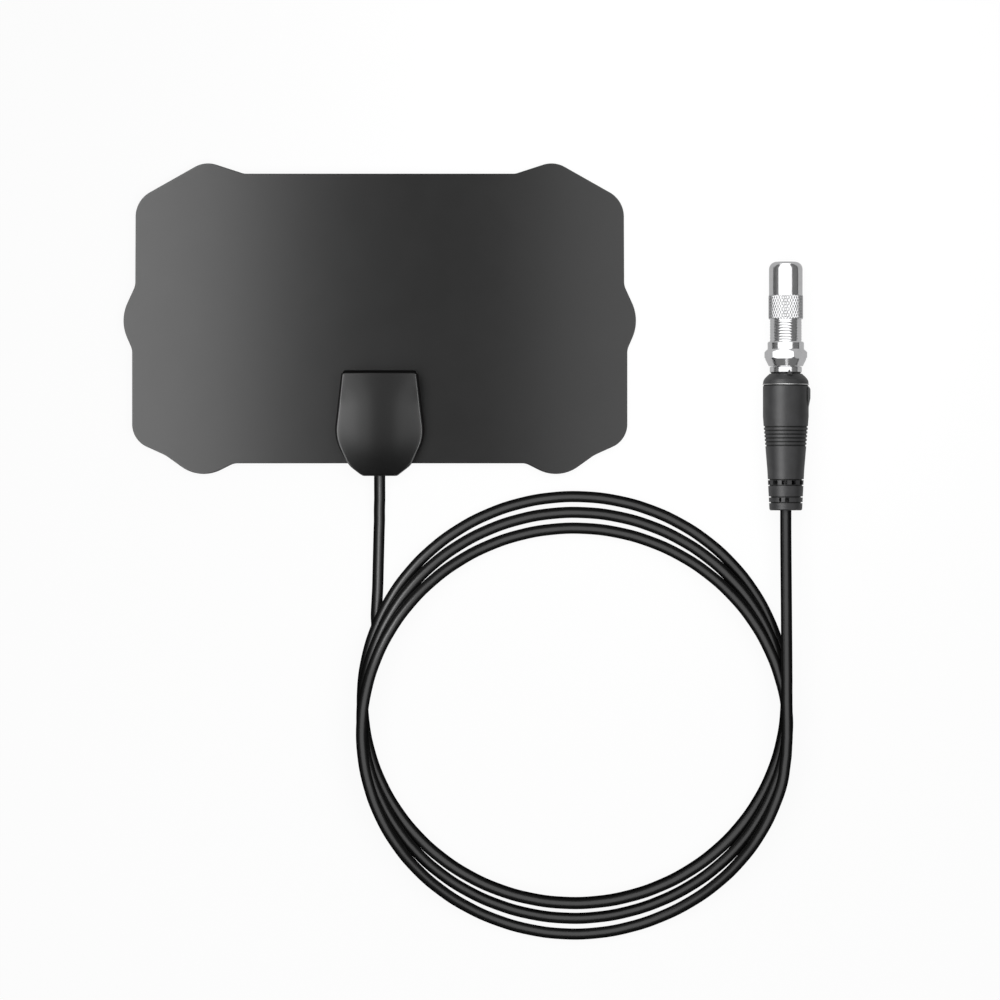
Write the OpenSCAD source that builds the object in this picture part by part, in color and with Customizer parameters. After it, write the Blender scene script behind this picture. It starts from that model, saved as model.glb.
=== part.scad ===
// Flat indoor aerial, lying face up on a table.
// A thin laminated panel is clamped at its lower edge in a small crowned housing. A round lead
// leaves the housing, lies in a coil of three and a half turns and ends in a screwed-on plug.
// The origin is on the table, under the middle of the panel. +Y points away from the lead.

/* [Panel] */
// Half width of the panel above its side lobes
panel_side_x = 69.6; // [68:0.1:71]
// How far the straight middle of the top edge lies from the origin
panel_top_y = 41.8; // [40:0.1:43]
// How far the straight middle of the bottom edge lies from the origin
panel_bottom_y = -40.8; // [-41.5:0.1:-40]
// Thickness of each of the two laminated sheets
sheet_t = 0.35; // [0.25:0.05:0.4]
// Thickness of the foil between the sheets
foil_t = 0.1; // [0.05:0.05:0.15]

/* [Housing] */
// Height of the crown of the front cover above the table
crown_z = 8.6; // [8.4:0.1:9.5]
// Radius of the crown across the housing
crown_r = 25.5; // [22:0.5:32]
// Radius of the fall of the crown towards the lead
fall_r = 70; // [65:1:90]
// Where that fall begins
fall_y = -26; // [-28:0.5:-24]
// Top end of the raised body of the front cover
body_top_y = -15.2; // [-15.5:0.1:-15]
// End of the housing that the lead comes out of
body_end_y = -44.4; // [-45:0.1:-44]
// Wall of the front cover
wall_t = 1.2; // [1:0.1:1.3]
// Thickness of the rear cover
rear_t = 1.6; // [1.5:0.1:2]
// Width of the dark gap between the body and the rim above it
gap_w = 0.65; // [0.6:0.05:0.9]
// Width of the ledge that the body stands on
ledge_w = 0.45; // [0.4:0.05:0.55]

/* [Lead] */
// Diameter of the lead
lead_d = 3.2; // [3:0.1:3.2]
// Half width of the coil, to the middle of the lead
coil_a = 60.4; // [58:0.1:62]
// Half height of one turn of the coil, to the middle of the lead
coil_b = 57.9; // [56:0.1:59]
// Middle of the coil from side to side
coil_x = 55.5; // [55:0.1:56]
// Middle of the first turn
coil_y = -108.2; // [-110:0.1:-108]
// How far each turn lies below the one before
turn_step = 4.5; // [4:0.1:4.6]

/* [Plug] */
// Axis of the plug, measured across the panel
plug_x = 115.5; // [115:0.1:116]
// Tip of the plug
plug_tip_y = 16.4; // [16:0.1:17]
// Outside diameter of the plug's shell
shell_d = 9.5; // [9.4:0.05:9.6]
// Length of the smooth shell
shell_len = 9.4; // [9:0.1:10]
// Length of the knurled band
knurl_len = 6.9; // [6:0.1:7.5]
// Length of thread that stays in view
thread_len = 6.4; // [6:0.1:7]
// Length of the coupling nut
nut_len = 6.9; // [6.6:0.1:7.2]
// Size of the nut's hexagon across its flats
nut_flats = 10.6; // [10.4:0.1:11]
// Length of the moulded boot
boot_len = 38.8; // [37:0.1:40]
// Largest radius of the boot
boot_r = 6.5; // [6.4:0.1:6.7]

/* [Hidden] */
$fn = 64;
eps = 0.01;

// Step of the arcs that round an outline, in degrees
arc_step = 8;
// Heights of the layers, from the table up
back_z = rear_t;
foil_z = back_z + sheet_t;
front_z = foil_z + foil_t;
cover_z = front_z + sheet_t;
// Corners of the body: half widths of the rounded top end and of the widest place
body_top_x = 10.4;
body_wide_x = 12.6;
body_round = 0.7;
// Thickness of the ledge, and height of the rim above it
ledge_t = 0.3;
rim_h = 0.4;
rim_w = 0.25;
// Step round the back edge of the rear cover
rear_edge = 0.3;
// Places and size of the pegs that join the covers through the sheets
pegs = [[-7.6, -18.6], [7.6, -18.6], [-7.9, -36.4], [7.9, -36.4]];
peg_r = 1.1;
peg_end_z = 0.6;
// Board, its eyelets and the balun on it
board_t = 0.6;
board_z = cover_z + board_t;
eyelets = [[-4.5, -22.4], [4.5, -22.4]];
eyelet_r = 0.8;
eyelet_bore_r = 0.4;
eyelet_head_r = 1.4;
eyelet_head_t = 0.4;
core_y = -26.4;
core_len = 5.6;
core_wire_x = 1.6;
core_half_h = 1.4;
core_hole_r = 0.7;
core_z = board_z + core_half_h;
wire_r = 0.25;
// Layers of the lead, from the middle out
lead_r = lead_d / 2;
conductor_r = 0.25;
dielectric_r = 0.75;
braid_r = 1.15;
lead_z = 3.3;
jacket_end_y = -36;
// Notch in the sheets that the end of the lead lies in
notch_w = 3.8;
notch_y = -33.2;
// Running gap of what passes through a hole
slip = 0.05;

// Stations along the plug, counted from its tip
knurl_s = shell_len;
thread_s = knurl_s + knurl_len;
nut_s = thread_s + thread_len;
nut_end_s = nut_s + nut_len;
collar_s = nut_end_s + 0.2;
boot_s = collar_s + 2;
boot_end_s = boot_s + boot_len;
adapter_end_s = nut_s + 5.2;
flange_s = adapter_end_s;
flange_end_s = flange_s + 1;
sleeve_end_s = boot_s + 12.5;
plug_z = boot_r;
// Radii along the plug
shell_r = shell_d / 2;
tip_round = 2.1;
socket_r = 3;
knurl_r = 4.93;
thread_r = 4.5;
insulator_r = 2.6;
pin_r = 1.17;
stem_r = 1;
collar_r = 4.55;
flange_r = 4.3;
neck_r = 3.4;
sleeve_r = 2.2;
nut_collar_r = 5.15;
nut_corner_r = 6.1;
nut_cone_r = 5.85;
nut_tail_r = 4.85;
// How far the tightened nut's upper flat leans to the left, in degrees
nut_lean = 12;

// The lead's route where it isn't coiled, from inside the housing to the coil
lead_route = [
    [0, -36, 3.3], [0, -40, 3.3], [0, -45, 3.3], [0, -48, 3.2], [0, -51, 2.8], [-0.1, -54, 2.3],
    [-0.1, -57, 1.9], [-0.2, -60, 1.7], [-0.3, -64, 1.6], [-0.4, -68, 1.6], [-0.5, -72, 1.6],
    [-0.6, -76, 1.6], [-0.8, -80, 1.6], [-1, -84, 1.6], [-1, -88, 1.6]];
// The route from the coil to the plug, inside the boot at its end
tail_route = [
    [115.5, -104, 10.9], [115.5, -100, 10.9], [115.5, -96, 10.6], [115.5, -91, 10.1],
    [115.5, -86, 9.5], [115.5, -81, 8.9], [115.5, -76, 8.3], [115.5, -71, 7.7],
    [115.5, -66, 7.1], [115.5, -62, 6.7], [115.5, -58, 6.5], [115.5, -54, 6.5],
    [115.5, -48, 6.5], [115.5, -40, 6.5], [115.5, -34, 6.5], [115.5, -27.9, 6.5]];
// Heights of the coil: at the crossings, over the lower turns and over the upper turns
pile_h = 4 * lead_d;
double_h = 2 * lead_d;
single_h = 3.6;
last_turn_y = coil_y - 2 * turn_step;

// Outlines: each corner is [x, y, radius], on the right-hand side, from top to bottom

function panel_side() = [
    [38.7, panel_top_y, 4], [49.8, panel_top_y + 3.6, 7.7], [panel_side_x, 34.2, 8],
    [panel_side_x + 0.1, 9.9, 5], [panel_side_x + 4.6, 0, 12.1], [panel_side_x + 1, -8.3, 5],
    [panel_side_x + 1, -34.2, 7.1], [61.1, -38.5, 10], [51.2, panel_bottom_y - 4.8, 10.8],
    [41.6, panel_bottom_y, 4.3]];

function body_side() = [
    [body_top_x, body_top_y, body_round], [body_wide_x, -33.4, 12], [8.9, -41.3, 6],
    [4.9, body_end_y, 1.5]];

// The ledge shows round the upper part of the body and ends flush with its lower part
function ledge_side() = [
    [body_top_x + ledge_w, body_top_y + gap_w + ledge_w, body_round + ledge_w],
    [body_wide_x + ledge_w, -33.4, 12], [8.9, -41.3, 6], [4.9, body_end_y, 1.5]];

// One half of a foil pattern, and the window inside it
function foil_side() = [
    [3, 37, 2], [50, 37, 8], [64, 28, 8], [64, -28, 8], [50, -35, 8], [3, -35, 2]];
function window_side() = [
    [14, 27, 3], [46, 27, 5], [54, 21, 5], [54, -19, 5], [46, -25, 5], [14, -12, 3]];

function unit(v) = v / norm(v);
function flat(p) = [p.x, p.y];
function before(list, i) = list[(i + len(list) - 1) % len(list)];
function after(list, i) = list[(i + 1) % len(list)];

// A right-hand side joined to its own mirror image
function both_sides(side) = concat(side,
    [for (i = [len(side) - 1 : -1 : 0]) [-side[i].x, side[i].y, side[i][2]]]);

// Arc of radius r that rounds the corner b on the way from a to c
function corner_arc(a, b, c, r) =
    let (
        u = unit(a - b),
        v = unit(c - b),
        half = acos(u * v) / 2,
        centre = b + unit(u + v) * r / sin(half),
        start = b + u * r / tan(half) - centre,
        finish = b + v * r / tan(half) - centre,
        from = atan2(start.y, start.x),
        turn = (atan2(finish.y, finish.x) - from + 540) % 360 - 180,
        steps = max(2, ceil(abs(turn) / arc_step))
    )
    [for (i = [0 : steps]) centre + r * [cos(from + turn * i / steps), sin(from + turn * i / steps)]];

function rounded(corners) = [for (i = [0 : len(corners) - 1])
    each corner_arc(flat(before(corners, i)), flat(corners[i]), flat(after(corners, i)), corners[i][2])];

// The same corners moved outwards by g, for an outline that runs clockwise
function grown(corners, g) = [for (i = [0 : len(corners) - 1])
    let (
        b = flat(corners[i]),
        u = unit(flat(before(corners, i)) - b),
        v = unit(flat(after(corners, i)) - b),
        outward = cross(u, v) > 0 ? 1 : -1,
        moved = b - outward * unit(u + v) * g / sin(acos(u * v) / 2)
    )
    [moved.x, moved.y, corners[i][2] + outward * g]];

// A closed outline through rounded corners, as a plate
module plate(corners, z0, z1) {
    translate([0, 0, z0])
        linear_extrude(z1 - z0)
            polygon(rounded(corners));
}

// A pillar at each of a list of places
module pillars(places, r, z0, z1) {
    for (p = places)
        translate([p.x, p.y, z0])
            cylinder(r = r, h = z1 - z0);
}

// A straight round bar along +Y
module bar_y(x, y0, y1, z, r) {
    translate([x, y0, z])
        rotate([-90, 0, 0])
            cylinder(r = r, h = y1 - y0);
}

// A straight tube along +Y
module tube_y(y0, y1, z, r, bore) {
    difference() {
        bar_y(0, y0, y1, z, r);
        bar_y(0, y0 - 1, y1 + 1, z, bore);
    }
}

// Panel

function panel_corners() = both_sides(panel_side());
function body_corners() = both_sides(body_side());
function ledge_corners() = both_sides(ledge_side());

module panel_sheet(z) {
    difference() {
        plate(panel_corners(), z, z + sheet_t);
        pillars(pegs, peg_r + slip, 0, crown_z);
        pillars(eyelets, eyelet_r + slip, 0, crown_z);
        translate([-notch_w / 2, panel_bottom_y - 1, 0])
            cube([notch_w, notch_y - panel_bottom_y + 1, crown_z]);
    }
}

module front_sheet() {
    color([0.10, 0.10, 0.11])
        panel_sheet(front_z);
}

module back_sheet() {
    color([0.08, 0.08, 0.09])
        panel_sheet(back_z);
}

// One wing of the aerial's foil, with its feed tab at the eyelet
module foil_wing() {
    difference() {
        plate(foil_side(), foil_z, foil_z + foil_t);
        plate(window_side(), 0, crown_z);
        pillars(pegs, peg_r + 1, 0, crown_z);
        pillars(eyelets, eyelet_r + slip, 0, crown_z);
    }
}

module foil_right() {
    color([0.82, 0.82, 0.84])
        foil_wing();
}

module foil_left() {
    color([0.82, 0.82, 0.84])
        mirror([1, 0, 0])
            foil_wing();
}

// Housing

// Everything under the crown: an arc across, falling on a second arc towards the lead
module under_crown(inset) {
    r = crown_r - inset;
    back = 60;
    translate([0, 0, crown_z - crown_r])
        rotate([-90, 0, 0])
            rotate_extrude($fn = 180) {
                translate([0, fall_y])
                    square([r, back]);
                intersection() {
                    translate([crown_r - fall_r, fall_y])
                        circle(r = fall_r - inset, $fn = 180);
                    translate([0, fall_y - back / 2])
                        square([r, back / 2]);
                }
            }
}

// The crowned block inside an outline
module crowned(corners, z0, inset) {
    intersection() {
        plate(corners, z0, crown_z);
        under_crown(inset);
    }
}

// Ledge under the body, with the thin rim along its top end
module ledge() {
    plate(ledge_corners(), cover_z, cover_z + ledge_t);
    difference() {
        plate(ledge_corners(), cover_z + ledge_t, cover_z + ledge_t + rim_h);
        plate(grown(ledge_corners(), -rim_w), 0, crown_z);
        translate([-30, body_top_y - 60 + eps, 0])
            cube([60, 60, crown_z]);
    }
}

// Skirt that closes the housing past the panel's lower edge
module skirt() {
    intersection() {
        plate(body_corners(), rear_t, cover_z + eps);
        translate([-30, body_end_y, 0])
            cube([60, panel_bottom_y - 0.2 - body_end_y, crown_z]);
    }
}

module front_cover() {
    color([0.12, 0.12, 0.13]) {
        difference() {
            union() {
                ledge();
                skirt();
                crowned(body_corners(), cover_z, 0);
            }
            crowned(grown(body_corners(), -wall_t), rear_t - 1, wall_t);
            bar_y(0, body_end_y - 1, body_end_y + 3, lead_z, lead_r + slip);
            translate([-lead_r - slip, body_end_y - 1, 0])
                cube([lead_d + 2 * slip, 3, lead_z]);
        }
        intersection() {
            pillars(pegs, peg_r, peg_end_z, crown_z);
            under_crown(wall_t / 2);
        }
    }
}

module rear_cover() {
    color([0.10, 0.10, 0.11])
        difference() {
            union() {
                plate(grown(ledge_corners(), -rear_edge), 0, rear_t);
                plate(ledge_corners(), rear_edge, rear_t);
            }
            pillars(pegs, peg_r + slip / 2, peg_end_z - 0.1, crown_z);
            pillars(eyelets, eyelet_head_r + 0.2, rear_t - eyelet_head_t - 0.1, crown_z);
        }
}

// Inside the housing

module circuit_board() {
    color([0.10, 0.35, 0.18])
        difference() {
            translate([0, 0, cover_z])
                linear_extrude(board_t)
                    difference() {
                        union() {
                            translate([-7, -30.5])
                                square([14, 10.3]);
                            translate([-4.5, -35.8])
                                square([9, 6]);
                        }
                        translate([-1.3, -36])
                            square([2.6, 4.4]);
                    }
            pillars(eyelets, eyelet_r + slip, 0, crown_z);
        }
}

// Eyelets that clamp the foil to the board
module foil_eyelets() {
    color([0.80, 0.78, 0.72])
        difference() {
            union() {
                pillars(eyelets, eyelet_head_r, rear_t - eyelet_head_t, rear_t);
                pillars(eyelets, eyelet_r, rear_t, board_z);
                pillars(eyelets, eyelet_head_r, board_z, board_z + eyelet_head_t);
            }
            pillars(eyelets, eyelet_bore_r, 0, crown_z);
        }
}

// Two-hole ferrite core
module balun_core() {
    color([0.22, 0.22, 0.24])
        difference() {
            translate([0, core_y + core_len / 2, core_z])
                rotate([90, 0, 0])
                    linear_extrude(core_len) {
                        square([2 * core_wire_x, 2 * core_half_h], center = true);
                        for (side = [-1, 1])
                            translate([side * core_wire_x, 0])
                                circle(r = core_half_h);
                    }
            for (side = [-1, 1])
                bar_y(side * core_wire_x, core_y - core_len, core_y + core_len, core_z, core_hole_r);
        }
}

// A wire through both holes, looped over the far end and soldered to the board at the near end
module balun_winding() {
    reach = core_len / 2 + 0.3;
    color([0.75, 0.40, 0.20]) {
        for (side = [-1, 1]) {
            bar_y(side * core_wire_x, core_y - reach, core_y + reach, core_z, wire_r);
            translate([side * core_wire_x, core_y - reach, core_z])
                sphere(r = wire_r);
            translate([side * core_wire_x, core_y - reach, board_z])
                cylinder(r = wire_r, h = core_z - board_z);
        }
        translate([0, core_y + reach, core_z])
            rotate_extrude(angle = 180)
                translate([core_wire_x, 0])
                    circle(r = wire_r, $fn = 24);
    }
}

// Strap over the braid, with a foot on each side of the board's slot
module braid_clip() {
    inner = braid_r + slip;
    outer = inner + 0.3;
    color([0.78, 0.78, 0.80])
        translate([0, -33.9, 0])
            rotate([90, 0, 0])
                linear_extrude(1.7)
                    difference() {
                        union() {
                            translate([0, lead_z])
                                circle(r = outer);
                            translate([-outer, board_z])
                                square([2 * outer, lead_z - board_z]);
                            translate([-2.9, board_z])
                                square([5.8, 0.3]);
                        }
                        translate([0, lead_z])
                            circle(r = inner);
                        translate([-inner, 0])
                            square([2 * inner, lead_z]);
                        translate([-3, 0])
                            square([6, board_z]);
                    }
}

module lead_braid() {
    color([0.70, 0.66, 0.60])
        tube_y(jacket_end_y, -33.5, lead_z, braid_r, dielectric_r + slip);
}

module lead_dielectric() {
    color([0.92, 0.92, 0.90])
        tube_y(jacket_end_y, -31.8, lead_z, dielectric_r, conductor_r + slip / 2);
}

module lead_conductor() {
    color([0.75, 0.45, 0.25])
        bar_y(0, jacket_end_y, -29.6, lead_z, conductor_r);
}

// Lead

function route_heading(route, i) = unit(route[min(i + 1, len(route) - 1)] - route[max(i - 1, 0)]);

function route_ring(route, i) =
    let (
        ahead = route_heading(route, i),
        across = unit(cross(ahead, [0, 0, 1])),
        up = cross(across, ahead)
    )
    [for (k = [0 : 7]) route[i] + lead_r * (cos(45 * k + 22.5) * across + sin(45 * k + 22.5) * up)];

// Eight-sided tube along a route
module swept(route) {
    last = len(route) - 1;
    polyhedron(
        points = [for (i = [0 : last]) each route_ring(route, i)],
        faces = concat(
            [[for (k = [0 : 7]) k]],
            [for (i = [0 : last - 1], k = [0 : 7])
                [8 * i + k, 8 * i + 8 + k, 8 * i + 8 + (k + 1) % 8, 8 * i + (k + 1) % 8]],
            [[for (k = [7 : -1 : 0]) 8 * last + k]]),
        convexity = 4);
}

module cord_lead() {
    color([0.06, 0.06, 0.07])
        swept(lead_route);
}

module cord_tail() {
    color([0.06, 0.06, 0.07])
        swept(tail_route);
}

// Outline of one turn, grown or shrunk by g
function turn_points(y, g) = [for (t = [0 : 6 : 354])
    [coil_x + (coil_a + g) * cos(t), y + (coil_b + g) * sin(t)]];

// Plan of the coiled turns, which step down the table one by one
module coil_plan() {
    difference() {
        union() {
            polygon(turn_points(coil_y, lead_r));
            polygon(turn_points(last_turn_y, lead_r));
            translate([coil_x - coil_a - lead_r, last_turn_y])
                square([2 * (coil_a + lead_r), coil_y - last_turn_y]);
        }
        intersection() {
            polygon(turn_points(coil_y, -lead_r));
            polygon(turn_points(last_turn_y, -lead_r));
        }
    }
}

// Roof over the coil: high at the side crossings, low where the turns lie side by side
module coil_roof() {
    top = coil_y + coil_b + lead_d;
    bottom = last_turn_y - coil_b - lead_d;
    translate([coil_x - 100, 0, 0])
        rotate([90, 0, 90])
            linear_extrude(200)
                polygon([[bottom, 0], [bottom, double_h], [last_turn_y - 46, double_h],
                    [last_turn_y - 20, pile_h], [coil_y + 11, pile_h], [coil_y + 46, single_h],
                    [top, single_h], [top, 0]]);
}

// Rooms in the coil's left and right ends, where the straight strands take over
module lead_cut() {
    translate([-20, -88, -1])
        cube([20.8, 30, 20]);
}

module tail_cut() {
    translate([105, -104, 8.3])
        cube([20, 30, 10]);
}

module cord_coil() {
    color([0.06, 0.06, 0.07])
        difference() {
            intersection() {
                linear_extrude(pile_h)
                    coil_plan();
                coil_roof();
            }
            lead_cut();
            tail_cut();
        }
}

// Plug

// Puts a profile of [radius, station] on the plug's axis, stations running from the tip to the lead
module on_plug_axis() {
    translate([plug_x, plug_tip_y, plug_z])
        rotate([90, 0, 0])
            children();
}

module turned(profile) {
    on_plug_axis()
        rotate_extrude($fn = 96)
            polygon(profile);
}

module plug_bore(r, s0, s1) {
    on_plug_axis()
        translate([0, 0, s0])
            cylinder(r = r, h = s1 - s0);
}

// Quarter arc from [r0 - round, s0] to [r0, s0 + round]
function rounded_front(r0, s0, round) = [for (t = [90 : -15 : 0])
    [r0 - round + round * cos(t), s0 + round - round * sin(t)]];

// Nose, knurled band and thread in one turned piece
module adapter_body() {
    color([0.80, 0.80, 0.82])
        difference() {
            turned(concat(
                [[0, 0]],
                rounded_front(shell_r, 0, tip_round),
                [[shell_r, knurl_s], [knurl_r, knurl_s + 0.15], [knurl_r, thread_s - 0.15],
                    [thread_r, thread_s], [thread_r, adapter_end_s - 0.4],
                    [thread_r - 0.4, adapter_end_s], [0, adapter_end_s]]));
            plug_bore(socket_r, -1, knurl_s);
            plug_bore(insulator_r, knurl_s - 1, adapter_end_s + 1);
        }
}

module adapter_insulator() {
    color([0.93, 0.93, 0.90])
        difference() {
            plug_bore(insulator_r, knurl_s, adapter_end_s - 0.6);
            plug_bore(stem_r, knurl_s - 1, adapter_end_s + 1);
        }
}

// Centre pin, with a socket in its stem for the lead's conductor
module adapter_pin() {
    color([0.85, 0.75, 0.45])
        difference() {
            turned(concat(
                [[0, 0.6]],
                rounded_front(pin_r, 0.6, 0.5),
                [[pin_r, knurl_s], [stem_r, knurl_s], [stem_r, adapter_end_s - 0.6],
                    [0, adapter_end_s - 0.6]]));
            plug_bore(conductor_r + slip, adapter_end_s - 8, adapter_end_s);
        }
}

// Coupling nut: round collar in front, short hexagon with turned corners, cone behind it
module coupling_nut() {
    hex_s = nut_s + 2.1;
    hex_end_s = nut_s + 4.9;
    lip_s = flange_end_s + slip;
    color([0.78, 0.78, 0.80])
        difference() {
            union() {
                turned([[0, nut_s], [nut_collar_r - 0.3, nut_s], [nut_collar_r, nut_s + 0.3],
                    [nut_collar_r, hex_end_s], [nut_cone_r, hex_end_s], [nut_tail_r, nut_end_s],
                    [0, nut_end_s]]);
                intersection() {
                    on_plug_axis()
                        rotate([0, 0, nut_lean])
                            translate([0, 0, hex_s])
                                cylinder(r = nut_flats / 2 / cos(30), h = hex_end_s - hex_s, $fn = 6);
                    turned([[0, hex_s], [nut_collar_r, hex_s], [nut_corner_r, hex_s + 0.9],
                        [nut_corner_r, hex_end_s - 0.4], [nut_cone_r - 0.3, hex_end_s], [0, hex_end_s]]);
                }
            }
            plug_bore(thread_r + slip, nut_s - 1, lip_s);
            plug_bore(neck_r + 0.2, nut_s - 1, nut_end_s + 1);
        }
}

// Turned body that the nut bears on, with the visible collar and the post for the braid
module connector_body() {
    color([0.76, 0.76, 0.78])
        difference() {
            turned([[0, flange_s], [flange_r, flange_s], [flange_r, flange_end_s],
                [neck_r, flange_end_s], [neck_r, collar_s], [collar_r - 0.2, collar_s], [collar_r, collar_s + 0.2],
                [collar_r, boot_s - 0.5], [collar_r - 0.5, boot_s], [braid_r, boot_s],
                [braid_r, sleeve_end_s], [0, sleeve_end_s]]);
            plug_bore(dielectric_r, 0, boot_end_s);
        }
}

module crimp_sleeve() {
    color([0.70, 0.70, 0.72])
        difference() {
            plug_bore(sleeve_r, boot_s, sleeve_end_s);
            plug_bore(braid_r, boot_s - 1, sleeve_end_s + 1);
        }
}

module plug_dielectric() {
    color([0.92, 0.92, 0.90])
        difference() {
            plug_bore(dielectric_r, flange_s, sleeve_end_s);
            plug_bore(conductor_r + slip / 2, 0, boot_end_s);
        }
}

module plug_conductor() {
    color([0.75, 0.45, 0.25])
        plug_bore(conductor_r, adapter_end_s - 7, sleeve_end_s);
}

// Groove round the boot at station s, of width w, from radius r0 outwards
module boot_groove(s, w, r0) {
    on_plug_axis()
        rotate([0, 0, -90])
            rotate_extrude($fn = 96)
                translate([r0, s - w / 2])
                    square([boot_r, w]);
}

// The same groove cut only over a span of degrees, from each of a list of starts
module boot_windows(s, w, r0, starts, span) {
    for (a = starts)
        on_plug_axis()
            rotate([0, 0, a])
                rotate_extrude(angle = span, $fn = 96)
                    translate([r0, s - w / 2])
                        square([boot_r, w]);
}

// Raised pad on the side of the boot
module boot_pad() {
    on_plug_axis()
        rotate([0, 0, -22])
            rotate_extrude(angle = 44, $fn = 96)
                polygon([[5, boot_s + 3.8], [boot_r + 0.2, boot_s + 3.8], [boot_r + 0.5, boot_s + 4.4],
                    [boot_r + 0.5, boot_s + 6.9], [boot_r - 0.1, boot_s + 10], [5, boot_s + 10]]);
}

// Moulded boot: rounded shoulder, fine grip ribs, a long taper and two slotted rings at its tail
module plug_boot() {
    front_r = 4.6;
    shoulder = 2.5;
    rib_s = boot_s + 14.8;
    rib_r = boot_r - 0.2;
    rib_pitch = 1.06;
    rib_depth = 0.4;
    rib_gap = 0.45;
    slot_w = 1.6;
    window_w = 1.2;
    window_r = 2.8;
    ring_w = 0.3;
    ring_depth = 0.6;
    slot_1 = boot_s + 30.9;
    slot_2 = boot_s + 35.8;
    slot_r = 5.05;
    tail_r = 4.65;
    bridge_n = 11;
    bridge_span = 14;
    color([0.10, 0.10, 0.11])
        difference() {
            union() {
                on_plug_axis()
                    rotate([0, 0, -90])
                        rotate_extrude($fn = 96)
                            polygon(concat(
                                [[0, boot_s], [front_r, boot_s]],
                                [for (t = [15 : 15 : 90])
                                    [front_r + (boot_r - 0.05 - front_r) * sin(t),
                                        boot_s + shoulder * t / 90]],
                                [[boot_r, boot_s + 3.7], [boot_r, boot_s + 12], [rib_r, rib_s],
                                    [5.75, rib_s + 6.5], [5.25, boot_s + 27.3], [slot_r, slot_1],
                                    [tail_r, boot_end_s - 0.3], [tail_r - 0.3, boot_end_s],
                                    [0, boot_end_s]]));
                boot_pad();
            }
            boot_groove(boot_s + 3.3, 0.4, boot_r - 0.25);
            for (i = [0 : 5])
                boot_groove(rib_s + 0.3 + i * rib_pitch, rib_gap, rib_r - 0.09 * i - rib_depth);
            for (side = [-1, 1]) {
                boot_groove(slot_1 + side * slot_w / 2, ring_w, slot_r - ring_depth);
                boot_groove(slot_2 + side * slot_w / 2, ring_w, tail_r - ring_depth);
            }
            boot_windows(slot_1, window_w, window_r,
                [for (i = [0 : bridge_n - 1]) 42 + bridge_span + i * 360 / bridge_n],
                360 / bridge_n - bridge_span);
            boot_windows(slot_2, window_w, window_r, [82, 202, 322], 14);
            boot_windows(slot_2, window_w, window_r, [109, 229, 349], 8);
            plug_bore(sleeve_r, boot_s - 1, sleeve_end_s);
            plug_bore(lead_r + slip, boot_s, boot_end_s + 1);
        }
}

front_sheet();
back_sheet();
foil_left();
foil_right();
front_cover();
rear_cover();
circuit_board();
foil_eyelets();
balun_core();
balun_winding();
braid_clip();
lead_braid();
lead_dielectric();
lead_conductor();
cord_lead();
cord_coil();
cord_tail();
plug_boot();
crimp_sleeve();
connector_body();
coupling_nut();
adapter_body();
adapter_insulator();
adapter_pin();
plug_dielectric();
plug_conductor();
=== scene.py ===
import logging
import math
from dataclasses import dataclass
from enum import Enum
from typing import Callable, Sequence

import bmesh
import bpy
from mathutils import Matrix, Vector


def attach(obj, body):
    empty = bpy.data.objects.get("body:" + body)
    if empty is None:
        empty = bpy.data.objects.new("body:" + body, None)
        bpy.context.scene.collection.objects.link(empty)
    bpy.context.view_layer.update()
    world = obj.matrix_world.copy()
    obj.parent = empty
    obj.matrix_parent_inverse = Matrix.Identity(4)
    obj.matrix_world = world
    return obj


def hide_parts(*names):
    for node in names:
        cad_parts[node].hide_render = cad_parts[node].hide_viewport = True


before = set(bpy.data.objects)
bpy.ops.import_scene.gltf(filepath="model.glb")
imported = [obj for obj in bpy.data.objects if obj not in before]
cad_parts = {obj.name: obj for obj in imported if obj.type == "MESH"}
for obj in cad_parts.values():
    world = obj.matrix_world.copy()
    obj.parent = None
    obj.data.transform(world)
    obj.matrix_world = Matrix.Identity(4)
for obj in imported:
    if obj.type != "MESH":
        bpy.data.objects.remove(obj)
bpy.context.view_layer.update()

Point = tuple[float, float, float]
Flat = tuple[float, float]
Colour = tuple[float, float, float]
Corner = tuple[float, float, float]
Radius = Callable[[float], float]
Tree = bpy.types.NodeTree
Socket = bpy.types.NodeSocket

log = logging.getLogger("aerial")

MM = 0.001
ROOT = "root"

HALF_TURN = 180
RIGHT_ANGLE = 90
# Points closer than this are one point, in metres
MERGE = 1e-7
# Blender's wave texture has 20 / tau bands to a unit
WAVE_SCALE = math.tau / 20
# A small rounded edge has one point between its ends, near 1 - cos 45 degrees of its radius
EDGE_MIDDLE = 0.3


class Slot(Enum):
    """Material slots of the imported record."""

    FILM = "panel_film"
    HOUSING = "housing_plastic"
    JACKET = "lead_jacket"
    BOOT = "boot_rubber"
    NICKEL = "nickel_plate"


class Grain(Enum):
    """Fine relief of a finish."""

    MOULDED = "moulded"
    TURNED = "turned"
    WOVEN = "woven"


class Ends(Enum):
    """What the rings of a mesh do at their two ends."""

    CAPPED = "capped"
    JOINED = "joined"
    OPEN = "open"


class Receives(Enum):
    """Which pieces a soft box lights, since the photograph's parts were lit apart."""

    PANEL = "lit_with_the_panel"
    HOUSING = "lit_with_the_housing"
    LEAD = "lit_with_the_lead"
    BOOT = "lit_with_the_boot"
    PLUG = "lit_with_the_plug"


# Finishes


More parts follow.
